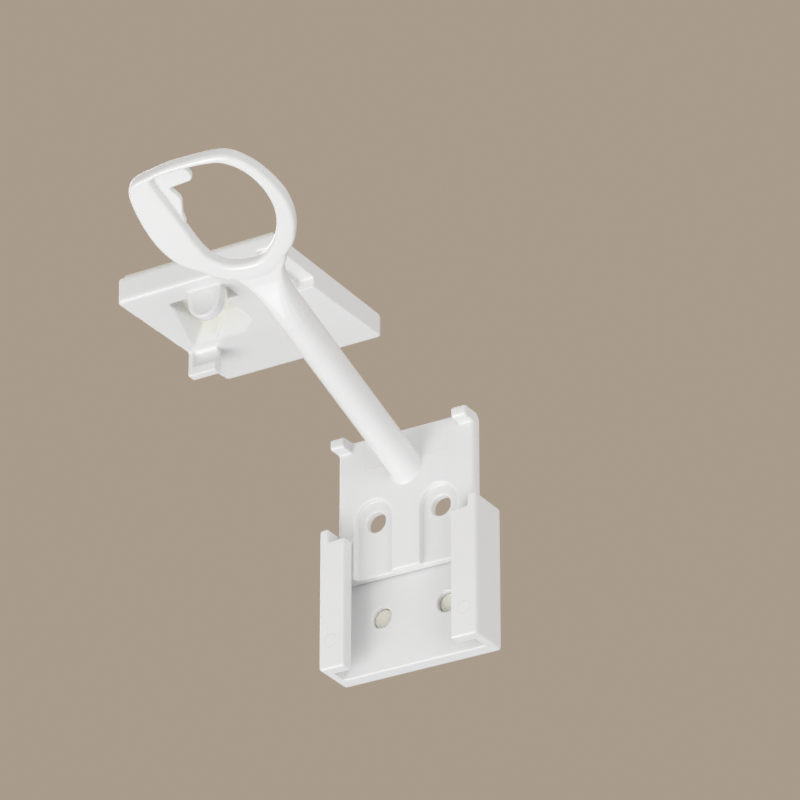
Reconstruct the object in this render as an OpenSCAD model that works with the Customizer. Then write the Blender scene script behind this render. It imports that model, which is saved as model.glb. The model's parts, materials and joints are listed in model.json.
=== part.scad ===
// Cabinet safety lock, seen from inside the cabinet: a latch arm with a finger ring slides
// down into a channel bracket on the door, and its hook catches a tab under the cabinet top.
// +X runs along the door, +Y goes into the door and +Z is up. The origin lies on the back of
// the bracket, midway between its two screw holes. The arm is drawn part way up the channel.

/* [Door bracket] */
// Width of the bracket along the door
bracket_w = 38.6; // [37:0.2:48]
// Height of the bracket
bracket_h = 32.6; // [31:0.2:44]
// Thickness of the back plate
bracket_back_t = 3.6; // [2.4:0.2:6]
// Thickness of the front lips
bracket_lip_t = 3.2; // [2:0.2:5]
// Thickness of the side walls
bracket_wall_t = 2.2; // [1.6:0.2:3.4]
// Clear width between the front lips
bracket_mouth_w = 26; // [23:0.5:27]
// Radius of the bracket's upright outer edges
bracket_edge_r = 0.8; // [0.3:0.1:1.4]
// Depth of the seats for the arm's ears, cut into the top of the lips
ear_seat_h = 2.9; // [2.5:0.1:6]

/* [Screw holes] */
// Diameter of the screw holes in the bracket and the arm
screw_d = 4.7; // [3:0.1:6]
// Distance between the two screw holes
screw_gap = 16; // [13:0.2:17]
// Height of the bracket's screw holes above its lower edge
screw_up = 12.5; // [10:0.1:15]

/* [Slide plate of the arm] */
// Thickness of the slide plate
plate_t = 3.2; // [2.8:0.1:5]
// Height of the plate's screw holes above its lower edge
plate_screw_up = 12.8; // [10:0.2:15]
// Radius of the plate's upright edges
plate_edge_r = 0.9; // [0.3:0.1:1.3]
// Radius of the plate's corners, seen from the front
plate_corner_r = 1.5; // [0.5:0.1:2]
// Width of the recess round each screw hole
recess_w = 9; // [7:0.2:11]
// Depth of the recess round each screw hole
recess_t = 1.2; // [0.6:0.1:1.6]
// Height of the recess's round end above the hole's centre
recess_rise = 0.4; // [0:0.2:2]
// Width of the ears
ear_w = 3.5; // [2:0.1:3.6]
// Height of the ears
ear_h = 2.5; // [2:0.1:5]
// Radius of the ears' edges
ear_edge_r = 0.7; // [0.3:0.1:0.9]
// How far the ears stand above the plate's upper edge
ear_rise = 0.2; // [0:0.1:1.5]

/* [Rod and finger ring of the arm] */
// Diameter of the rod
rod_d = 7.4; // [6:0.2:9]
// Upward tilt of the rod from square to the door, in degrees
rod_tilt = 19; // [10:1:24]
// Distance from the plate's upper edge down to the rod's axis
rod_drop = 8.6; // [7:0.1:10]
// Flare of the rod where it meets the plate
rod_flare = 0.4; // [0.2:0.1:1]
// Distance along the rod from the plate to the middle of the ring
ring_reach = 80; // [60:0.5:90]
// Width of the ring
ring_w = 32.8; // [28:0.2:44]
// Length of the ring from its middle to the free end
ring_far = 14.1; // [12:0.1:20]
// Length of the ring from its middle to the end at the rod
ring_near = 19.4; // [17:0.2:26]
// Thickness of the ring
ring_t = 3.1; // [2.4:0.1:4.5]
// Radius of the ring's edges
ring_edge_r = 1; // [0.4:0.1:1.2]
// Length of the neck that turns the round rod into the flat ring
neck_l = 17; // [12:0.5:20]
// Thickness of the toothed hook web in the ring's corner
web_t = 1.4; // [1:0.1:2]

/* [Fit] */
// Gap round the slide plate in the channel
slide_gap = 0.3; // [0.15:0.05:0.5]
// Gap under the ears when the arm is right down
seat_gap = 0.1; // [0.05:0.05:0.3]
// How far the arm is drawn up from right down
arm_lift = 21.4; // [0:0.1:25]

/* [Catch plate] */
// Width of the catch plate along the door
catch_w = 40; // [34:0.2:44]
// Depth of the catch plate from its front edge to its door edge
catch_d = 44.4; // [40:0.2:55]
// Thickness at the front edge
catch_front_t = 6.2; // [5:0.1:8]
// Thickness at the door edge
catch_door_t = 5.1; // [3.4:0.1:5.6]
// Radius of the plate's upright corners
catch_edge_r = 1.5; // [0.3:0.1:2]
// Radius of the plate's long edges at the front and at the door
catch_ease_r = 0.9; // [0.3:0.1:1.6]
// Width of the hanging tab
tab_w = 8.2; // [6:0.1:12]
// Height of the hanging tab below the plate
tab_h = 6.8; // [5:0.1:12]
// Thickness of the hanging tab
tab_t = 2.4; // [1.6:0.1:4]
// Distance from the front edge to the tab
tab_back = 3.8; // [2.5:0.1:6]
// Length of the window behind the tab
window_d = 5; // [4.2:0.1:7]
// How far the window reaches past the tab on each side
window_side = 1.4; // [0.5:0.1:2.5]
// Length of the ramp behind the window
ramp_d = 10.5; // [6:0.5:14]
// Width of the sloping flanks beside the window
flank_w = 4.8; // [2:0.2:6]
// Length of the flanks behind the window
flank_d = 5; // [2:0.2:5.8]
// Width of the guide tooth at the left edge
tooth_w = 7.2; // [4:0.1:9]
// Height of the guide tooth below the plate
tooth_h = 6.2; // [4:0.1:8]
// Thickness of the guide tooth
tooth_t = 2.4; // [1.2:0.1:3]
// Distance from the front edge to the guide tooth
tooth_back = 28.2; // [26:0.2:31]
// Height of the ledge that runs to the right from the tooth
ledge_h = 1.3; // [0.6:0.1:2]
// Width of the step in the right front corner
step_w = 4.4; // [2:0.2:6]
// Height of the step in the right front corner
step_h = 2.8; // [1.5:0.1:3.4]
// Length of the step in the right front corner
step_d = 16; // [10:0.2:18]

/* [Adhesive pads] */
// Thickness of the adhesive pads
pad_t = 1; // [0.6:0.1:2]
// Distance from a pad's edge to the edge of the piece that it holds
pad_inset = 1.2; // [0.5:0.1:3]

/* [Layout] */
// How far the catch plate's centre line lies to the left of the bracket's
catch_left = 28.6; // [27:0.2:60]
// Distance from the door face to the catch plate's door edge
catch_clear = 3.2; // [1:0.2:10]
// Height of the cabinet top above the screw holes
ceiling_up = 73.8; // [68:0.2:120]

/* [Hidden] */
$fn = 48;

// Overrun of every cut past the face that it opens
over = 0.6;
white = "#ececea";
cream = "#ece6cf";

// Faces of the bracket and the slide plate, counted from the bracket's back towards the room
slot_back_y = -bracket_back_t;
slot_t = plate_t + 2 * slide_gap;
lip_y = slot_back_y - slot_t;
bracket_front_y = lip_y - bracket_lip_t;
bracket_d = -bracket_front_y;
slot_w = bracket_w - 2 * bracket_wall_t;
bracket_top_z = bracket_h - screw_up;
plate_back_y = slot_back_y - slide_gap;
plate_front_y = plate_back_y - plate_t;
plate_w = slot_w - 2 * slide_gap;

// Heights on the arm when it is right down, with its ears just over their seats
ear_z = bracket_top_z - ear_seat_h + seat_gap;
plate_top_z = ear_z + ear_h - ear_rise;
plate_h = plate_top_z + plate_screw_up;
rod_z = plate_top_z - rod_drop;
ear_out = bracket_lip_t + slide_gap;

// Outlines of the ring's rim and of its finger hole, paired point by point round the ring, as
// shares of half the ring's width and of its far length, or of its near length below the middle
rim_shares = [
    [0, 1], [0.41, 0.98], [0.68, 0.89], [0.88, 0.59], [0.98, 0.22], [1, -0.12], [0.91, -0.41],
    [0.74, -0.65], [0.55, -0.79], [0.11, -1], [-0.43, -0.93], [-0.72, -0.71], [-0.91, -0.53],
    [-1, -0.27], [-1, 0.06], [-0.94, 0.49], [-0.87, 0.74], [-0.75, 0.89], [-0.46, 0.96], [-0.17, 1]
];
hole_shares = [
    [0.07, 0.89], [0.31, 0.86], [0.52, 0.8], [0.69, 0.6], [0.78, 0.33], [0.8, 0.03], [0.75, -0.21],
    [0.61, -0.44], [0.38, -0.65], [0.09, -0.78], [-0.25, -0.75], [-0.44, -0.6], [-0.49, -0.4],
    [-0.49, -0.16], [-0.49, 0.2], [-0.49, 0.54], [-0.49, 0.73], [-0.47, 0.85], [-0.33, 0.9], [-0.13, 0.9]
];
// Outline of the hook web in the ring's far left corner, with its two teeth, in the same shares
web_shares = [
    [-0.62, 0.8], [-0.4, 0.93], [0, 0.95], [-0.01, 0.83], [0.02, 0.78], [0.02, 0.69], [0, 0.63],
    [-0.04, 0.6], [-0.36, 0.575], [-0.36, 0.545], [-0.32, 0.36], [-0.33, 0.29], [-0.44, 0.05],
    [-0.47, -0.08], [-0.62, -0.08]
];
// Half widths and half heights of the neck along its length, as shares of their change from
// the rod to the ring
neck_along_shares = [0, 0.18, 0.35, 0.45, 0.56, 0.7, 0.82, 0.91, 1];
neck_wide_shares = [0, 0, 0, 0.02, 0.07, 0.19, 0.41, 0.74, 1];
neck_high_shares = [0, 0.1, 0.35, 0.5, 0.68, 0.88, 0.97, 1, 1];
// Half width of the neck where it ends inside the ring, as a share of half the ring's width
neck_end_share = 0.5;
// Thickness of the neck where it ends inside the ring, as a share of the ring's thickness
neck_thin_share = 0.86;
// Radius of the neck where it takes over from the rod, as a share of the rod's radius
neck_swell_share = 1.03;
// Depth of the web below the ring's upper face, as a share of the ring's thickness
web_sink_share = 0.06;
// Where the neck ends inside the ring, as a share of the ring's near length
neck_stop_share = 0.825;
// Depth of the ramp's deep end, as a share of the plate's front thickness
ramp_deep_share = 0.82;
// Length of the ledge along the catch plate, as a share of the plate's width
ledge_l_share = 0.62;

// Largest edge radius of the ring, as a share of half its section
round_share = 0.99;

outline_steps = 4;
corner_steps = 4;
ring_half = ring_w / 2;
rod_r = rod_d / 2;

catch_front_y = pad_t - catch_clear - catch_d;
catch_top_z = ceiling_up - pad_t;

// Shared outlines and lofts

function sized(share) = [share.x * ring_half, share.y * (share.y > 0 ? ring_far : ring_near)];

function spline_point(a, b, c, d, t) =
    (2 * b + (c - a) * t + (2 * a - 5 * b + 4 * c - d) * t * t + (3 * b - a - 3 * c + d) * t * t * t) / 2;

function closed_spline(points, steps) = [
    for (i = [0 : len(points) - 1], s = [0 : steps - 1])
        let (n = len(points))
        spline_point(points[(i + n - 1) % n], points[i], points[(i + 1) % n], points[(i + 2) % n], s / steps)
];

function rounded_section(half_w, half_t, r) = [
    for (quarter = [0 : 3], s = [0 : corner_steps])
        let (
            turn = 90 * (quarter + s / corner_steps),
            side_x = quarter == 0 || quarter == 3 ? 1 : -1,
            side_y = quarter < 2 ? 1 : -1
        )
        [side_x * (half_w - r) + r * cos(turn), side_y * (half_t - r) + r * sin(turn)]
];

function skin_faces(rings, count, closed) = [
    for (i = [0 : rings - (closed ? 1 : 2)], j = [0 : count - 1])
        let (
            a = i * count + j,
            b = i * count + (j + 1) % count,
            c = ((i + 1) % rings) * count + (j + 1) % count,
            d = ((i + 1) % rings) * count + j
        )
        each [[a, b, c], [a, c, d]]
];

module rounded_rect(w, d, r) {
    translate([r - w / 2, 0]) square([w - 2 * r, d]);
    translate([-w / 2, r]) square([w, d - 2 * r]);
    for (x = [r - w / 2, w / 2 - r], y = [r, d - r]) translate([x, y]) circle(r);
}

module eased(r) {
    offset(r = r) offset(delta = -r) children();
}

module screw_holes(d, front_y, length) {
    for (x = [-screw_gap / 2, screw_gap / 2])
        translate([x, front_y, 0]) rotate([-90, 0, 0]) cylinder(d = d, h = length);
}

// Sub-parts

module door_bracket() {
    color(white)
    difference() {
        intersection() {
            translate([0, bracket_front_y, -screw_up])
                linear_extrude(bracket_h) rounded_rect(bracket_w, bracket_d, bracket_edge_r);
            translate([0, 0, -screw_up]) rotate([90, 0, 0])
                linear_extrude(bracket_d) rounded_rect(bracket_w, bracket_h, bracket_edge_r);
        }
        translate([-slot_w / 2, lip_y, -screw_up - over]) cube([slot_w, slot_t, bracket_h + 2 * over]);
        translate([-bracket_mouth_w / 2, bracket_front_y - over, -screw_up - over])
            cube([bracket_mouth_w, bracket_lip_t + 2 * over, bracket_h + 2 * over]);
        translate([-slot_w / 2, bracket_front_y - over, bracket_top_z - ear_seat_h])
            cube([slot_w, bracket_lip_t + 2 * over, ear_seat_h + over]);
        screw_holes(screw_d, slot_back_y - over, bracket_back_t + 2 * over);
    }
}

module bracket_adhesive_pad() {
    color(cream)
    difference() {
        translate([pad_inset - bracket_w / 2, 0, pad_inset - screw_up])
            cube([bracket_w - 2 * pad_inset, pad_t, bracket_h - 2 * pad_inset]);
        screw_holes(screw_d, -over, pad_t + 2 * over);
    }
}

module slide_plate() {
    difference() {
        intersection() {
            translate([0, plate_front_y, -plate_screw_up])
                linear_extrude(plate_h) rounded_rect(plate_w, plate_t, plate_edge_r);
            translate([0, plate_back_y, -plate_screw_up]) rotate([90, 0, 0])
                linear_extrude(plate_t) rounded_rect(plate_w, plate_h, plate_corner_r);
        }
        for (x = [-screw_gap / 2, screw_gap / 2]) {
            translate([x - recess_w / 2, plate_front_y - over, -plate_screw_up - over])
                cube([recess_w, recess_t + over, plate_screw_up + recess_rise + over]);
            translate([x, plate_front_y - over, recess_rise])
                rotate([-90, 0, 0]) cylinder(d = recess_w, h = recess_t + over);
        }
        screw_holes(screw_d, plate_front_y - over, plate_t + 2 * over);
    }
}

module ears() {
    ear_d = ear_out + plate_t - plate_edge_r;
    for (side = [-1, 1])
        translate([side * (plate_w - ear_w) / 2 - ear_w / 2, plate_front_y - ear_out + ear_d / 2, ear_z])
            rotate([90, 0, 90]) linear_extrude(ear_w) rounded_rect(ear_d, ear_h, ear_edge_r);
}

module finger_ring() {
    rim = closed_spline([for (share = rim_shares) sized(share)], outline_steps);
    hole = closed_spline([for (share = hole_shares) sized(share)], outline_steps);
    points = [
        for (i = [0 : len(rim) - 1])
            let (
                middle = (rim[i] + hole[i]) / 2,
                half_w = norm(rim[i] - hole[i]) / 2,
                way = (rim[i] - hole[i]) / (2 * half_w),
                r = min(ring_edge_r, round_share * half_w, round_share * ring_t / 2)
            )
            for (p = rounded_section(half_w, ring_t / 2, r))
                [middle.x + way.x * p.x, p.y, middle.y + way.y * p.x]
    ];
    polyhedron(points, skin_faces(len(rim), 4 * (corner_steps + 1), true));
}

module hook_web() {
    translate([0, (1 / 2 - web_sink_share) * ring_t, 0]) rotate([90, 0, 0])
        linear_extrude(web_t) polygon([for (share = web_shares) sized(share)]);
}

module neck() {
    end_half = neck_end_share * ring_half;
    end_half_t = neck_thin_share * ring_t / 2;
    start_r = neck_swell_share * rod_r;
    stop_z = -neck_stop_share * ring_near;
    count = 4 * (corner_steps + 1);
    last = len(neck_along_shares) - 1;
    points = [
        for (i = [0 : last])
            let (
                half_w = start_r + neck_wide_shares[i] * (end_half - start_r),
                half_t = start_r + neck_high_shares[i] * (end_half_t - start_r),
                r = start_r + neck_high_shares[i] * (ring_edge_r - start_r),
                z = stop_z - (1 - neck_along_shares[i]) * neck_l
            )
            for (p = rounded_section(half_w, half_t, r)) [p.x, p.y, z]
    ];
    first_cap = [for (j = [0 : count - 1]) j];
    last_cap = [for (j = [count - 1 : -1 : 0]) last * count + j];
    polyhedron(points, concat(skin_faces(last + 1, count, false), [last_cap, first_cap]));
}

module rod() {
    rod_l = ring_reach - neck_stop_share * ring_near - neck_l;
    sink = plate_t;
    translate([0, 0, -sink]) cylinder(d = rod_d, h = rod_l + sink + over);
    translate([0, 0, -sink])
        cylinder(r1 = rod_r + 2 * rod_flare, r2 = rod_r, h = sink + 2 * rod_flare);
}

module latch_arm() {
    color(white)
    translate([0, 0, arm_lift]) {
        slide_plate();
        ears();
        difference() {
            translate([0, plate_front_y, rod_z]) rotate([90 - rod_tilt, 0, 0]) {
                rod();
                translate([0, 0, ring_reach]) {
                    neck();
                    finger_ring();
                    hook_web();
                }
            }
            translate([-plate_w / 2, plate_back_y - recess_t, -plate_screw_up])
                cube([plate_w, plate_t + slot_t, plate_h + ring_w]);
        }
    }
}

module catch_body() {
    intersection() {
        translate([catch_w / 2, 0, 0]) rotate([90, 0, -90]) linear_extrude(catch_w)
            eased(catch_ease_r)
            polygon([[0, 0], [-catch_d, 0], [-catch_d, -catch_door_t], [0, -catch_front_t]]);
        translate([0, 0, -catch_front_t]) linear_extrude(catch_front_t)
            rounded_rect(catch_w, catch_d, catch_edge_r);
    }
}

module hanging_tab() {
    round_r = tab_w / 2;
    drop = tab_h - round_r;
    translate([0, tab_back, -catch_front_t]) rotate([-90, 0, 0]) {
        translate([-round_r, -catch_front_t / 2, 0]) cube([tab_w, drop + catch_front_t / 2, tab_t]);
        translate([0, drop, 0]) cylinder(r = round_r, h = tab_t);
    }
}

module ramp_pocket() {
    window_y = tab_back + tab_t;
    window_w = tab_w + 2 * window_side;
    mouth_z = -catch_front_t - over;
    deep_z = mouth_z + ramp_deep_share * catch_front_t;
    translate([-window_w / 2, window_y, mouth_z]) cube([window_w, window_d, catch_front_t + 2 * over]);
    hull() {
        translate([-window_w / 2, window_y, deep_z]) cube([window_w, window_d, over]);
        translate([-window_w / 2 - flank_w, window_y, mouth_z])
            cube([window_w + 2 * flank_w, window_d + flank_d, over]);
    }
    hull() {
        translate([-tab_w / 2, window_y, deep_z]) cube([tab_w, window_d, over]);
        translate([-tab_w / 2, window_y, mouth_z]) cube([tab_w, window_d + ramp_d, over]);
    }
}

module guide_tooth() {
    translate([-catch_w / 2, tooth_back, -catch_door_t - tooth_h])
        cube([tooth_w, tooth_t, catch_door_t / 2 + tooth_h]);
}

module ledge() {
    ledge_d = catch_d - tooth_back - tooth_t;
    ledge_l = ledge_l_share * catch_w;
    translate([-catch_w / 2, tooth_back + tooth_t / 2, -catch_door_t])
        polyhedron(
            [
                [0, 0, catch_door_t / 2], [0, ledge_d, catch_door_t / 2], [ledge_l, ledge_d, catch_door_t / 2],
                [ledge_l, 0, catch_door_t / 2], [0, 0, -ledge_h], [0, ledge_d, 0]
            ],
            [[0, 1, 2, 3], [0, 4, 5, 1], [0, 3, 4], [1, 5, 2], [2, 5, 4, 3]]
        );
}

module catch_plate() {
    color(white)
    translate([-catch_left, catch_front_y, catch_top_z]) {
        difference() {
            catch_body();
            ramp_pocket();
            translate([catch_w / 2 - step_w, -over, -catch_front_t - over])
                cube([step_w + over, step_d + over, step_h + over]);
        }
        hanging_tab();
        guide_tooth();
        ledge();
    }
}

module catch_adhesive_pad() {
    color(cream)
    translate([pad_inset - catch_w / 2 - catch_left, catch_front_y + pad_inset, catch_top_z])
        cube([catch_w - 2 * pad_inset, catch_d - 2 * pad_inset, pad_t]);
}

door_bracket();
bracket_adhesive_pad();
latch_arm();
catch_plate();
catch_adhesive_pad();
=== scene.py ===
"""Looks of a cabinet safety lock: softened mouldings, foam pads, finishes, camera and light."""
import json
import logging
import math
from collections.abc import Callable
from dataclasses import dataclass
from enum import Enum

import bmesh
import bpy
from mathutils import Matrix, Vector


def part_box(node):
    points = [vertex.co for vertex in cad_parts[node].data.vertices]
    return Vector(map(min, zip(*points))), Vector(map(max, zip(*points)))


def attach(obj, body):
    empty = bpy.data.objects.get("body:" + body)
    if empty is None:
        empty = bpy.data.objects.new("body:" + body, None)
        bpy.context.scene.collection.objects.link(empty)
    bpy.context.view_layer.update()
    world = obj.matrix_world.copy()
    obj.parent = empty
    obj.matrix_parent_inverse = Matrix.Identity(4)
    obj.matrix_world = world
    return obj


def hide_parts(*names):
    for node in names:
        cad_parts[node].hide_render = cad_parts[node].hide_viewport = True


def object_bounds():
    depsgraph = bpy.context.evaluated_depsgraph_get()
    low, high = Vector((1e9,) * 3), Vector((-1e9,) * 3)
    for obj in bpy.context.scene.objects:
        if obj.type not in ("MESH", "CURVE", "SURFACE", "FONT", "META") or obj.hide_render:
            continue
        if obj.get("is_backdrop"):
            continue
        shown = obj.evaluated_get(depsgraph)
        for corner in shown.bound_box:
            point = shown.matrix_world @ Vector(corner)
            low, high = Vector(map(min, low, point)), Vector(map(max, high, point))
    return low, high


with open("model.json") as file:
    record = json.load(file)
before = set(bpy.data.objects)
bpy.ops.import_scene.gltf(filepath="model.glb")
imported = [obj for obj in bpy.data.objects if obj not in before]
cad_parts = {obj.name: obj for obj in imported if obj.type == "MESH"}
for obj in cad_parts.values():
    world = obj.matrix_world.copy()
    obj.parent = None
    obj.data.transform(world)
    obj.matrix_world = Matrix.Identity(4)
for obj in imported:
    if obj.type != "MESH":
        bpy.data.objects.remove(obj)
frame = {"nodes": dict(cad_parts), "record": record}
CAD_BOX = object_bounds()
LOG = logging.getLogger("safety_lock")
MM = 0.001

Socket = bpy.types.NodeSocket
Color = tuple[float, float, float]
Point = tuple[float, float, float]
Outline = tuple[tuple[float, float], ...]


def from_mm(*corners: tuple[float, float]) -> Outline:
    """Give an outline in metres from its corners in millimetres."""
    return tuple((x * MM, y * MM) for x, y in corners)


class Body(Enum):
    """Bodies that the pieces ride on."""

    MOUNTED = "mounted_set"
    ARM = "arm"


class Change(Enum):
    """Ways in which extra forms change a piece's solid."""

    FILL = "UNION"
    SCOOP = "DIFFERENCE"


class NodeSheet:
    """A material's node tree with short ways to add and join nodes."""

    # The mix node has sockets of one name for each kind of value, so its colour sockets go by number.
    MIX_FIRST = 6
    MIX_SECOND = 7
    MIX_RESULT = 2
    # A mark shows fully up to the first distance from its face and is gone at the second.
    MARK_NEAR = 0.2 * MM
    MARK_FAR = 0.4 * MM

    def __init__(self, name: str) -> None:
        """Start an empty material.

        Args:
            name: Name of the material.
        """
        self.material = bpy.data.materials.new(name)
        self.material.use_nodes = True
        self.nodes = self.material.node_tree.nodes
        self.links = self.material.node_tree.links
        self.nodes.clear()
        self.place = self.add("ShaderNodeTexCoord").outputs["Object"]

    def add(self, kind: str, **settings: object) -> bpy.types.ShaderNode:
        """Add a node.

        Args:
            kind: Blender's name for the node type.
            **settings: Attributes to set on the node.

        Returns:
            The new node.
        """
        made = self.nodes.new(kind)
        for key, value in settings.items():
            setattr(made, key, value)
        return made

    def join(self, source: Socket, target: Socket) -> None:
        """Link two sockets."""
        self.links.new(source, target)

    def noise(self, scale: float, detail: float = 2.0, rough: float = 0.5) -> Socket:
        """Add a noise field over the object.

        Args:
            scale: Repeats per metre.
            detail: Octaves of the noise.
            rough: Share that each finer octave keeps.

        Returns:
            The noise value, from 0 to 1.
        """
        made = self.add("ShaderNodeTexNoise")
        made.inputs["Scale"].default_value = scale
        made.inputs["Detail"].default_value = detail
        made.inputs["Roughness"].default_value = rough
        self.join(self.place, made.inputs["Vector"])
        return made.outputs["Fac"]

    def ramp(self, value: Socket, low: float, high: float, out: tuple[float, float]) -> Socket:
        """Map a value from one range to another.

        Args:
            value: The value to map.
            low: Input that gives the first output.
            high: Input that gives the second output.
            out: The two outputs.

        Returns:
            The mapped value.
        """
        made = self.add("ShaderNodeMapRange")
        for key, number in zip(("From Min", "From Max", "To Min", "To Max"), (low, high, *out)):
            made.inputs[key].default_value = number
        self.join(value, made.inputs["Value"])
        return made.outputs["Result"]

    def math(self, how: str, first: Socket, second: Socket | float) -> Socket:
        """Combine two values.

        Args:
            how: Blender's name for the sum.
            first: The first value.
            second: The second value, a socket or a number.

        Returns:
            The result.
        """
        made = self.add("ShaderNodeMath", operation=how)
        self.join(first, made.inputs[0])
        if isinstance(second, float):
            made.inputs[1].default_value = second
        else:
            self.join(second, made.inputs[1])
        return made.outputs["Value"]

    def axes(self) -> tuple[Socket, Socket, Socket]:
        """Split the place on the object into its coordinates.

        Returns:
            The x, y and z.
        """
        made = self.add("ShaderNodeSeparateXYZ")
        self.join(self.place, made.inputs["Vector"])
        return made.outputs["X"], made.outputs["Y"], made.outputs["Z"]

    def on_face(self, mark: Socket, face_y: float) -> Socket:
        """Keep a mark's height on the face square to Y at face_y, and nothing away from it."""
        away = self.math("ABSOLUTE", self.math("SUBTRACT", self.axes()[1], face_y), 0.0)
        return self.math("MULTIPLY", mark, self.ramp(away, self.MARK_NEAR, self.MARK_FAR, (1.0, 0.0)))

    def tint(self, factor: Socket, first: Color | Socket, second: Color) -> Socket:
        """Blend two colours by a factor.

        Args:
            factor: Share of the second colour.
            first: Colour at factor 0, or a socket that gives it.
            second: Colour at factor 1.

        Returns:
            The blended colour.
        """
        made = self.add("ShaderNodeMix", data_type="RGBA")
        if isinstance(first, tuple):
            made.inputs[self.MIX_FIRST].default_value = (*first, 1.0)
        else:
            self.join(first, made.inputs[self.MIX_FIRST])
        made.inputs[self.MIX_SECOND].default_value = (*second, 1.0)
        self.join(factor, made.inputs["Factor"])
        return made.outputs[self.MIX_RESULT]

    def bump(self, height: Socket, depth: float, before: Socket | None = None) -> Socket:
        """Add a bump layer.

        Args:
            height: Height field, from 0 to 1.
            depth: Real height of the bump in metres.
            before: Normal of an earlier layer.

        Returns:
            The new normal.
        """
        made = self.add("ShaderNodeBump")
        made.inputs["Strength"].default_value = 1.0
        made.inputs["Distance"].default_value = depth
        self.join(height, made.inputs["Height"])
        if before is not None:
            self.join(before, made.inputs["Normal"])
        return made.outputs["Normal"]

    def close(self, shader: Socket) -> bpy.types.Material:
        """Join the shader to the output.

        Args:
            shader: The surface shader.

        Returns:
            The finished material.
        """
        out = self.add("ShaderNodeOutputMaterial")
        self.join(shader, out.inputs["Surface"])
        return self.material


@dataclass(frozen=True)
class PinMark:
    """Faint round line that an ejector pin of the mould left on a face square to Y."""

    x: float
    z: float
    face_y: float
    radius: float = 1.45 * MM
    line: float = 0.22 * MM
    depth: float = 0.05 * MM

    def height(self, sheet: NodeSheet) -> Socket:
        """Draw the mark.

        Args:
            sheet: The material's sheet.

        Returns:
            Height of the mark, from 0 to 1.
        """
        x, _, z = sheet.axes()
        across = sheet.math("SUBTRACT", x, self.x)
        along = sheet.math("SUBTRACT", z, self.z)
        square = sheet.math("ADD", sheet.math("POWER", across, 2.0), sheet.math("POWER", along, 2.0))
        off = sheet.math("SUBTRACT", sheet.math("POWER", square, 0.5), self.radius)
        ring = sheet.ramp(sheet.math("ABSOLUTE", off, 0.0), 0.0, self.line, (1.0, 0.0))
        return sheet.on_face(ring, self.face_y)


@dataclass(frozen=True)
class InsertMark:
    """Faint outline that a mould insert left on a face square to Y, open at the upper edge."""

    half_w: float
    foot_z: float
    face_y: float
    line: float = 0.16 * MM
    depth: float = 0.04 * MM

    def height(self, sheet: NodeSheet) -> Socket:
        """Draw the mark.

        Args:
            sheet: The material's sheet.

        Returns:
            Height of the mark, from 0 to 1.
        """
        x, _, z = sheet.axes()
        across = sheet.math("SUBTRACT", sheet.math("ABSOLUTE", x, 0.0), self.half_w)
        below = sheet.math("MULTIPLY", sheet.math("SUBTRACT", z, self.foot_z), -1.0)
        off = sheet.math("ABSOLUTE", sheet.math("MAXIMUM", across, below), 0.0)
        return sheet.on_face(sheet.ramp(off, 0.0, self.line, (1.0, 0.0)), self.face_y)


@dataclass(frozen=True)
class PaintedCreamGlow:
    """Painted light: a cream glow painted into the plastic's colour inside a pocket, fading in with depth,
    for the foam behind the pocket's thin walls showing through.
    """

    x: float
    y: float
    mouth_z: float
    half_w: float
    half_d: float
    color: Color = (0.86, 0.86, 0.78)
    rim: float = 0.2 * MM
    fade: float = 3.0 * MM

    def factor(self, sheet: NodeSheet) -> Socket:
        """Find how far a place lies inside the pocket.

        Args:
            sheet: The material's sheet.

        Returns:
            Share of the painted cream glow, from 0 to 1.
        """
        x, y, z = sheet.axes()
        inside = sheet.ramp(sheet.math("SUBTRACT", z, self.mouth_z), self.rim, self.fade, (0.0, 1.0))
        for place, middle, half in ((x, self.x, self.half_w), (y, self.y, self.half_d)):
            off = sheet.math("ABSOLUTE", sheet.math("SUBTRACT", place, middle), 0.0)
            inside = sheet.math("MULTIPLY", inside, sheet.ramp(off, half, half + self.fade, (1.0, 0.0)))
        return inside


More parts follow.
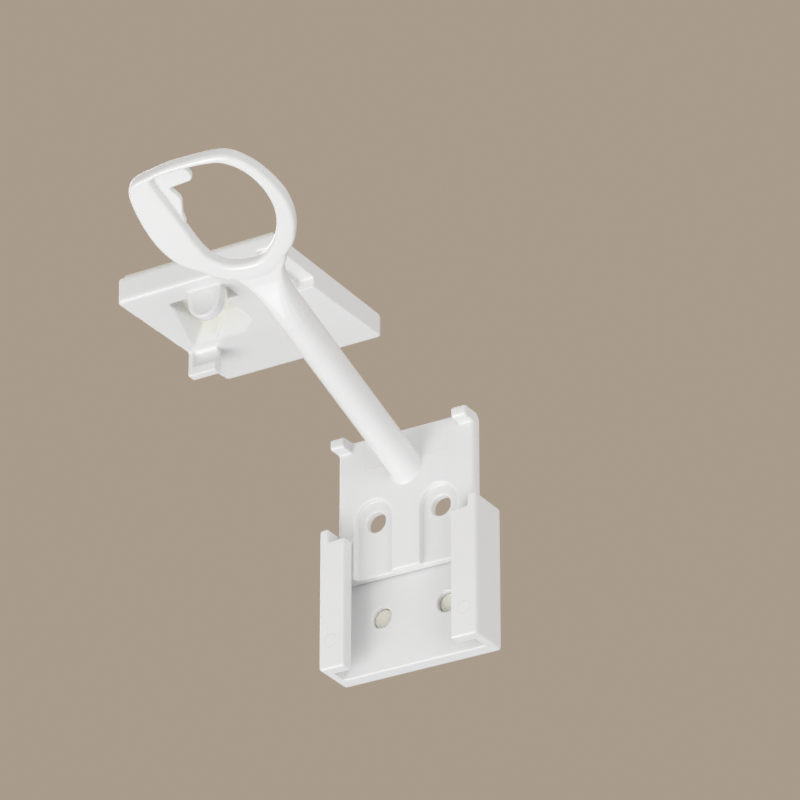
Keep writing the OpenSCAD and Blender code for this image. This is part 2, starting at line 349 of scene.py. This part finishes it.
@dataclass(frozen=True)
class PlasticFinish:
    """White injection-moulded plastic with faint flow tones, a fine grain, marks of the mould and, where
    given, a painted cream glow in a pocket.
    """

    name: str
    marks: tuple[PinMark | InsertMark, ...] = ()
    # Painted light: an optional cream glow painted into the colour of a pocket.
    painted_glow: PaintedCreamGlow | None = None
    color: Color = (0.86, 0.86, 0.86)
    flow_color: Color = (0.84, 0.84, 0.84)
    flow_scale: float = 45.0
    flow_detail: float = 3.0
    flow_range: tuple[float, float] = (0.35, 0.68)
    roughness: tuple[float, float] = (0.2, 0.27)
    mottle_scale: float = 900.0
    mottle_range: tuple[float, float] = (0.3, 0.7)
    refraction: float = 1.49
    glow_weight: float = 0.08
    glow_radius: Color = (1.0, 0.95, 0.88)
    glow_scale: float = 0.6 * MM
    wave_scale: float = 120.0
    wave_detail: float = 1.0
    wave_depth: float = 0.05 * MM
    grain_scale: float = 5200.0
    grain_detail: float = 2.0
    grain_rough: float = 0.6
    grain_depth: float = 0.003 * MM

    def material(self) -> bpy.types.Material:
        """Make the plastic's material.

        Returns:
            The material.
        """
        sheet = NodeSheet(self.name)
        shader = sheet.add("ShaderNodeBsdfPrincipled")
        flow = sheet.ramp(sheet.noise(self.flow_scale, self.flow_detail), *self.flow_range, (0.0, 1.0))
        tone = sheet.tint(flow, self.color, self.flow_color)
        # Painted light: the cream glow is painted into the base colour, stronger deeper in the pocket.
        if self.painted_glow is not None:
            tone = sheet.tint(self.painted_glow.factor(sheet), tone, self.painted_glow.color)
        sheet.join(tone, shader.inputs["Base Color"])
        mottle = sheet.ramp(sheet.noise(self.mottle_scale), *self.mottle_range, self.roughness)
        sheet.join(mottle, shader.inputs["Roughness"])
        shader.inputs["IOR"].default_value = self.refraction
        shader.inputs["Subsurface Weight"].default_value = self.glow_weight
        shader.inputs["Subsurface Radius"].default_value = self.glow_radius
        shader.inputs["Subsurface Scale"].default_value = self.glow_scale
        wave = sheet.bump(sheet.noise(self.wave_scale, self.wave_detail), self.wave_depth)
        grain = sheet.noise(self.grain_scale, self.grain_detail, self.grain_rough)
        normal = sheet.bump(grain, self.grain_depth, wave)
        for mark in self.marks:
            normal = sheet.bump(mark.height(sheet), mark.depth, normal)
        sheet.join(normal, shader.inputs["Normal"])
        return sheet.close(shader.outputs["BSDF"])


@dataclass(frozen=True)
class FoamFinish:
    """Cream double-sided foam with open cells on its cut edges, the cell hollows painted a little darker as
    painted shade.
    """

    name: str
    color: Color = (0.88, 0.87, 0.78)
    # Painted shade: the colour of each cell's hollow.
    cell_shade_color: Color = (0.83, 0.81, 0.71)
    cell_scale: float = 2600.0
    cell_range: tuple[float, float] = (0.02, 0.30)
    cell_depth: float = 0.04 * MM
    roughness: float = 0.85

    def material(self) -> bpy.types.Material:
        """Make the foam's material.

        Returns:
            The material.
        """
        sheet = NodeSheet(self.name)
        shader = sheet.add("ShaderNodeBsdfPrincipled")
        cells = sheet.add("ShaderNodeTexVoronoi", feature="DISTANCE_TO_EDGE")
        cells.inputs["Scale"].default_value = self.cell_scale
        sheet.join(sheet.place, cells.inputs["Vector"])
        # Painted shade: each cell is painted darker and yellower towards its hollow, away from its walls.
        painted_cell_shade = sheet.ramp(cells.outputs["Distance"], *self.cell_range, (0.0, 1.0))
        sheet.join(sheet.tint(painted_cell_shade, self.color, self.cell_shade_color), shader.inputs["Base Color"])
        shader.inputs["Roughness"].default_value = self.roughness
        wall = sheet.ramp(cells.outputs["Distance"], *self.cell_range, (1.0, 0.0))
        sheet.join(sheet.bump(wall, self.cell_depth), shader.inputs["Normal"])
        return sheet.close(shader.outputs["BSDF"])


@dataclass
class SoftEdged:
    """A piece whose solid gets an even skin with soft edges and corners, worked in millimetres."""

    node: str = ""
    body: Body = Body.MOUNTED
    slot: str = ""
    kind: str = ""
    voxel_mm: float = 0.2
    soften_rounds: int = 10
    soften_share: float = 0.5
    keep_share: float = 0.35

    def build(self) -> bpy.types.Object:
        """Build the piece, dress it and set it in the frame.

        Returns:
            The piece.
        """
        piece = bpy.data.objects.new(f"{self.node}_{self.kind}", self.solid())
        bpy.context.scene.collection.objects.link(piece)
        piece.data.transform(Matrix.Scale(1 / MM, 4))
        self._soften(piece)
        piece.data.transform(Matrix.Scale(MM, 4))
        piece.data.materials.clear()
        piece.data.materials.append(self.material())
        piece.data.shade_smooth()
        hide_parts(self.node)
        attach(piece, self.body.value)
        return piece

    def solid(self) -> bpy.types.Mesh:
        """Copy the node's solid.

        Returns:
            The mesh, in the frame and in metres.
        """
        source = frame["nodes"][self.node]
        mesh = source.data.copy()
        mesh.transform(source.matrix_world)
        return mesh

    def material(self) -> bpy.types.Material:
        """Make the piece's material, which each kind of piece gives."""
        raise NotImplementedError

    def fills(self, shape: bmesh.types.BMesh) -> None:
        """Add the forms to be joined to the piece, in metres: none on a plain one."""

    def hollows(self, shape: bmesh.types.BMesh) -> None:
        """Add the forms to be scooped out of the piece, in metres: none on a plain one."""

    def _reshape(self, piece: bpy.types.Object, change: Change,
                 add_forms: Callable[[bmesh.types.BMesh], None]) -> bpy.types.Object | None:
        """Join forms to a piece or scoop them out of it.

        Args:
            piece: The piece, in millimetres.
            change: What the forms do to the piece.
            add_forms: Method that adds the forms to a mesh.

        Returns:
            The forms, which are deleted once the piece is made, or nothing where there are none.
        """
        shape = bmesh.new()
        add_forms(shape)
        if not shape.faces:
            shape.free()
            return None
        mesh = bpy.data.meshes.new(f"{self.node}_{change.name}")
        shape.to_mesh(mesh)
        shape.free()
        mesh.transform(Matrix.Scale(1 / MM, 4))
        forms = bpy.data.objects.new(mesh.name, mesh)
        bpy.context.scene.collection.objects.link(forms)
        step = piece.modifiers.new(change.name, "BOOLEAN")
        step.operation = change.value
        step.solver = "EXACT"
        step.use_self = True
        step.object = forms
        return forms

    def _soften(self, piece: bpy.types.Object) -> None:
        """Fill and scoop a piece, then round its edges by an even skin, a relaxed surface and fewer faces.

        Args:
            piece: The piece, in millimetres.
        """
        changes = ((Change.FILL, self.fills), (Change.SCOOP, self.hollows))
        helpers = [self._reshape(piece, change, add_forms) for change, add_forms in changes]
        skin = piece.modifiers.new("skin", "REMESH")
        skin.mode = "VOXEL"
        skin.voxel_size = self.voxel_mm
        relax = piece.modifiers.new("relax", "SMOOTH")
        relax.factor = self.soften_share
        relax.iterations = self.soften_rounds
        fewer = piece.modifiers.new("fewer", "DECIMATE")
        fewer.ratio = self.keep_share
        graph = bpy.context.evaluated_depsgraph_get()
        piece.data = bpy.data.meshes.new_from_object(piece.evaluated_get(graph))
        piece.modifiers.clear()
        for helper in filter(None, helpers):
            bpy.data.objects.remove(helper)


@dataclass
class Moulding(SoftEdged):
    """A moulded piece of white plastic, with its edges and corners softened as a mould leaves them."""

    slot: str = "white_plastic"
    kind: str = "moulding"

    def material(self) -> bpy.types.Material:
        """Make the piece's plastic, with its marks and its painted cream glow."""
        return PlasticFinish(f"{self.node}_plastic", self.marks(), self.painted_glow()).material()

    def marks(self) -> tuple[PinMark | InsertMark, ...]:
        """Give the marks that the mould left on the piece: none on a plain one."""
        return ()

    def painted_glow(self) -> PaintedCreamGlow | None:
        """Give the painted cream glow of a pocket over the foam: none on a plain piece."""
        return None


@dataclass
class DoorBracket(Moulding):
    """The channel bracket on the door, with a pin mark low on each front lip."""

    node: str = "door_bracket"
    pin_in: float = 3.1 * MM
    pin_up: float = 6.2 * MM

    def marks(self) -> tuple[PinMark | InsertMark, ...]:
        """Place the pin marks on the lips.

        Returns:
            The marks.
        """
        low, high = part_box(self.node)
        places = (low.x + self.pin_in, high.x - self.pin_in)
        return tuple(PinMark(x, low.z + self.pin_up, low.y) for x in places)


@dataclass
class LatchArm(Moulding):
    """The latch arm, with a mould insert's outline round the root of its rod."""

    node: str = "latch_arm"
    body: Body = Body.ARM
    plate_t: float = 3.2 * MM
    insert_half_w: float = 10.2 * MM
    insert_up: float = 25.0 * MM

    def marks(self) -> tuple[PinMark | InsertMark, ...]:
        """Place the insert's outline on the slide plate."""
        low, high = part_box(self.node)
        return (InsertMark(self.insert_half_w, low.z + self.insert_up, high.y - self.plate_t),)


@dataclass
class CatchPlate(Moulding):
    """The catch plate under the cabinet top, with a dished tab, a window, a funnel and a scooped tooth."""

    node: str = "catch_plate"
    soften_rounds: int = 16
    segments: int = 64
    front_t: float = 6.2 * MM
    door_t: float = 5.1 * MM
    # The solid's plain pocket, which is closed again, a hair inside the plate's faces.
    fill_half_w: float = 10.6 * MM
    fill_back: float = 22.2 * MM
    sunk: float = 0.02 * MM
    overrun: float = 0.3 * MM
    # The window and the funnel: corners lie right of the plate's middle and back from its front edge.
    window_half_w: float = 4.1 * MM
    window_front: float = 6.2 * MM
    window_back: float = 11.2 * MM
    funnel_depth: float = 3.2 * MM
    funnel_mouth: Outline = from_mm((-10.5, 6.2), (-18.4, 27.4), (-12.8, 28.0), (-9.9, 26.3),
                                    (-4.3, 26.8), (1.0, 22.0), (1.0, 6.2))
    funnel_floor: Outline = from_mm((-12.0, 9.0), (-11.8, 21.5), (-8.7, 24.2), (-5.1, 19.2),
                                    (-2.3, 19.4), (0.6, 18.5), (0.6, 9.0))
    # The dish in the tab and the scoop in the tooth.
    tab_back: float = 3.8 * MM
    tab_h: float = 6.8 * MM
    dish_up: float = 3.5 * MM
    dish_r: float = 2.7 * MM
    dish_depth: float = 0.45 * MM
    tooth_back: float = 28.2 * MM
    tooth_w: float = 7.2 * MM
    tooth_wall: float = 1.3 * MM
    scoop_drop: float = 7.3 * MM
    scoop_r: float = 2.2 * MM
    scoop_depth: float = 1.1 * MM

    def painted_glow(self) -> PaintedCreamGlow | None:
        """Place the painted cream glow in the funnel.

        Returns:
            The painted glow.
        """
        low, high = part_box(self.node)
        across = [x for x, _ in self.funnel_mouth]
        along = [y for _, y in self.funnel_mouth]
        middle = (low.x + high.x + min(across) + max(across)) / 2
        return PaintedCreamGlow(middle, low.y + (min(along) + max(along)) / 2, self.underside(max(along)),
                         (max(across) - min(across)) / 2, (max(along) - min(along)) / 2)

    def underside(self, back: float) -> float:
        """Find the height of the plate's sloping underside.

        Args:
            back: Distance from the plate's front edge.

        Returns:
            The height in the frame.
        """
        low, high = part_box(self.node)
        share = back / (high.y - low.y)
        return high.z - self.front_t + share * (self.front_t - self.door_t)

    def fills(self, shape: bmesh.types.BMesh) -> None:
        """Close the solid's plain pocket, so that the funnel can be cut.

        Args:
            shape: The mesh that takes the block.
        """
        _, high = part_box(self.node)
        block = self._oblong(self.fill_half_w, self.window_front - self.overrun, self.fill_back)
        self._loft(shape, block, block, -self.sunk, high.z - self.sunk)

    def hollows(self, shape: bmesh.types.BMesh) -> None:
        """Add the funnel, the window, the dish in the tab's front and the scoop in the tooth's front.

        Args:
            shape: The mesh that takes the forms.
        """
        low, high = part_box(self.node)
        floor_z = high.z - self.front_t + self.funnel_depth
        self._loft(shape, self.funnel_mouth, self.funnel_floor, self.overrun, floor_z)
        window = self._oblong(self.window_half_w, self.window_front, self.window_back)
        self._loft(shape, window, window, self.overrun, high.z + self.overrun)
        dish_z = high.z - self.front_t - self.tab_h + self.dish_up
        dish = Vector(((low.x + high.x) / 2, low.y + self.tab_back, dish_z))
        reach = Vector((self.dish_r, self.dish_depth, self.dish_r))
        bmesh.ops.create_uvsphere(shape, u_segments=self.segments, v_segments=self.segments // 2, radius=1.0,
                                  matrix=Matrix.LocRotScale(dish, None, reach))
        scoop_y = low.y + self.tooth_back - self.scoop_r + self.scoop_depth
        scoop = Vector((low.x + self.tooth_wall + self.tooth_w / 2, scoop_y, high.z - self.scoop_drop))
        bmesh.ops.create_cone(shape, cap_ends=True, segments=self.segments, depth=self.tooth_w,
                              radius1=self.scoop_r, radius2=self.scoop_r,
                              matrix=Matrix.Translation(scoop) @ Matrix.Rotation(math.pi / 2, 4, "Y"))

    def _oblong(self, half_w: float, front: float, back: float) -> Outline:
        """Outline an oblong about the plate's middle, between two distances from its front edge."""
        return (-half_w, front), (half_w, front), (half_w, back), (-half_w, back)

    def _loft(self, shape: bmesh.types.BMesh, foot: Outline, head: Outline, drop: float, top: float) -> None:
        """Add a form that rises from the plate's underside to a level head.

        Args:
            shape: The mesh that takes the form.
            foot: Corners at the underside, right of the plate's middle and back from its front edge.
            head: Corners of the head, as many as the foot has.
            drop: How far the foot lies below the underside.
            top: Height of the head in the frame.
        """
        low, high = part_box(self.node)
        middle = (low.x + high.x) / 2
        below = [shape.verts.new((middle + x, low.y + y, self.underside(y) - drop)) for x, y in foot]
        above = [shape.verts.new((middle + x, low.y + y, top)) for x, y in head]
        faces = [shape.faces.new(below), shape.faces.new(above)]
        for at in range(len(foot)):
            faces.append(shape.faces.new((below[at - 1], below[at], above[at], above[at - 1])))
        bmesh.ops.recalc_face_normals(shape, faces=faces)


@dataclass
class FoamPad(SoftEdged):
    """A die-cut foam pad with soft edges and corners."""

    slot: str = "adhesive_foam"
    kind: str = "foam"
    soften_rounds: int = 4
    keep_share: float = 0.25
    fill: float = 1.0

    def build(self) -> bpy.types.Object:
        """Returns:
            The piece.
        """
        piece = super().build()
        return piece

    def solid(self) -> bpy.types.Mesh:
        """Make the pad over its node's box, with the swells that stand out of it.

        Returns:
            The mesh, in the frame and in metres.
        """
        low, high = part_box(self.node)
        shape = bmesh.new()
        bmesh.ops.create_cube(shape, size=1.0, matrix=Matrix.LocRotScale((low + high) / 2, None, high - low))
        self.swells(shape)
        mesh = bpy.data.meshes.new(f"{self.node}_{self.kind}")
        shape.to_mesh(mesh)
        shape.free()
        return mesh

    def swells(self, shape: bmesh.types.BMesh) -> None:
        """Add the places where the foam swells into a hole, in metres: none on a plain pad."""

    def material(self) -> bpy.types.Material:
        """Make the pad's foam."""
        return FoamFinish(f"{self.node}_foam").material()


@dataclass
class CatchPad(FoamPad):
    """The foam pad between the catch plate and the cabinet top."""

    node: str = "catch_adhesive_pad"


@dataclass
class BracketPad(FoamPad):
    """The foam pad behind the bracket, which swells a little into the bracket's two screw holes."""

    node: str = "bracket_adhesive_pad"
    mount: str = "door_screws"
    swell_rise: float = 2.5 * MM
    swell_gap: float = 0.02 * MM
    swell_taper: float = 0.05 * MM
    segments: int = 48

    def swells(self, shape: bmesh.types.BMesh) -> None:
        """Add a low plug of foam at each screw hole.

        Args:
            shape: The pad's mesh.
        """
        low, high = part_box(self.node)
        dims = next(mount["dims"] for mount in frame["record"]["mounts"] if mount["name"] == self.mount)
        foot_r = dims["hole_r_mm"] * MM - self.swell_gap
        tall = self.swell_rise + (high.y - low.y) / 2
        for side in (-1, 1):
            place = Vector((side * dims["spacing_x_mm"] * MM / 2, (low.y + high.y - tall) / 2, 0.0))
            bmesh.ops.create_cone(shape, cap_ends=True, segments=self.segments, depth=tall,
                                  radius1=foot_r, radius2=foot_r - self.swell_taper,
                                  matrix=Matrix.Translation(place) @ Matrix.Rotation(math.pi / 2, 4, "X"))


@dataclass(frozen=True)
class SoftLamp:
    """A square soft box that faces the lock."""

    name: str
    way: Point
    power: float
    side: float
    distance: float = 0.8


@dataclass
class Studio:
    """Camera, soft lamps, even surrounding light and a plain pale floor."""

    target: Point = (0.0023, -0.0131, 0.0447)
    azimuth: float = 31.0
    elevation: float = -27.2
    distance: float = 1.0638
    lens: float = 225.0
    sensor: float = 36.0
    view_reach: float = 30.0
    surround: float = 0.66
    backdrop: Color = (0.40, 0.33, 0.26)
    floor_z: float = -1.03
    floor_side: float = 16.0
    floor_color: Color = (0.74, 0.74, 0.74)
    floor_shade: float = 0.96
    floor_patches: float = 3.0
    floor_rough: float = 0.8
    lamps: tuple[SoftLamp, ...] = (
        SoftLamp("key", (-0.4, -0.5, -0.77), 3.0, 0.5),
        SoftLamp("fill", (0.8, -0.45, -0.3), 1.4, 0.5),
        SoftLamp("rim", (-0.6, 0.45, 0.65), 1.6, 0.6),
    )

    def build(self) -> None:
        """Set up the camera, the light and the floor."""
        scene = bpy.context.scene
        scene.view_settings.view_transform = "Standard"
        self._camera(scene)
        self._world(scene)
        for lamp in self.lamps:
            self._lamp(lamp)
        self._floor()

    def _camera(self, scene: bpy.types.Scene) -> None:
        """Place the camera at the photograph's viewing angle.

        Args:
            scene: The scene that gets the camera.
        """
        turn = math.radians(self.azimuth)
        tilt = math.radians(self.elevation)
        back = Vector((math.sin(turn) * math.cos(tilt), -math.cos(turn) * math.cos(tilt), math.sin(tilt)))
        data = bpy.data.cameras.new("camera")
        data.lens = self.lens
        data.sensor_width = self.sensor
        data.clip_end = self.view_reach
        camera = bpy.data.objects.new("camera", data)
        camera.location = Vector(self.target) + back * self.distance
        camera.rotation_euler = (-back).to_track_quat("-Z", "Y").to_euler()
        scene.collection.objects.link(camera)
        scene.camera = camera

    def _world(self, scene: bpy.types.Scene) -> None:
        """Light the lock evenly from all round, in front of a plain backdrop colour.

        Args:
            scene: The scene that gets the world.
        """
        world = bpy.data.worlds.new("studio")
        world.use_nodes = True
        nodes, links = world.node_tree.nodes, world.node_tree.links
        nodes.clear()
        path = nodes.new("ShaderNodeLightPath")
        seen = path.outputs["Is Camera Ray"]
        for ray in ("Is Glossy Ray", "Is Transmission Ray"):
            either = nodes.new("ShaderNodeMath")
            either.operation = "MAXIMUM"
            links.new(seen, either.inputs[0])
            links.new(path.outputs[ray], either.inputs[1])
            seen = either.outputs["Value"]
        light = nodes.new("ShaderNodeBackground")
        light.inputs["Color"].default_value = (1.0, 1.0, 1.0, 1.0)
        light.inputs["Strength"].default_value = self.surround
        shown = nodes.new("ShaderNodeBackground")
        shown.inputs["Color"].default_value = (*self.backdrop, 1.0)
        mix = nodes.new("ShaderNodeMixShader")
        out = nodes.new("ShaderNodeOutputWorld")
        links.new(seen, mix.inputs["Fac"])
        links.new(light.outputs["Background"], mix.inputs[1])
        links.new(shown.outputs["Background"], mix.inputs[2])
        links.new(mix.outputs["Shader"], out.inputs["Surface"])
        scene.world = world

    def _lamp(self, lamp: SoftLamp) -> None:
        """Hang a soft lamp that faces the lock.

        Args:
            lamp: The lamp, with the way that it lies from the lock, its power and its size.
        """
        data = bpy.data.lights.new(lamp.name, "AREA")
        data.energy = lamp.power
        data.size = lamp.side
        way = Vector(lamp.way).normalized()
        hung = bpy.data.objects.new(lamp.name, data)
        hung.location = Vector(self.target) + way * lamp.distance
        hung.rotation_euler = (-way).to_track_quat("-Z", "Y").to_euler()
        bpy.context.scene.collection.objects.link(hung)

    def _floor(self) -> None:
        """Lay a plain pale floor far below the lock, under the camera."""
        half = self.floor_side / 2
        plan = ((-half, -half), (half, -half), (half, half), (-half, half))
        mesh = bpy.data.meshes.new("floor")
        mesh.from_pydata([(x, y, self.floor_z) for x, y in plan], [], [range(len(plan))])
        floor = bpy.data.objects.new("floor", mesh)
        bpy.context.scene.collection.objects.link(floor)
        sheet = NodeSheet("pale_floor")
        shader = sheet.add("ShaderNodeBsdfPrincipled")
        shade = tuple(self.floor_shade * part for part in self.floor_color)
        patches = sheet.noise(self.floor_patches)
        sheet.join(sheet.tint(patches, self.floor_color, shade), shader.inputs["Base Color"])
        shader.inputs["Roughness"].default_value = self.floor_rough
        mesh.materials.append(sheet.close(shader.outputs["BSDF"]))
        floor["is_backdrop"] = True


def write_sizes() -> None:
    boxes = {"cad": CAD_BOX, "visual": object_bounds()}
    {name: [list(corner) for corner in box] for name, box in boxes.items()}


def main() -> None:
    logging.basicConfig(level=logging.INFO)
    pieces: list[SoftEdged] = [DoorBracket(), BracketPad(), LatchArm(), CatchPlate(), CatchPad()]
    for piece in pieces:
        made = piece.build()
        LOG.info("%s: %d faces", made.name, len(made.data.polygons))
    Studio().build()
    write_sizes()


if __name__ == "__main__":
    main()
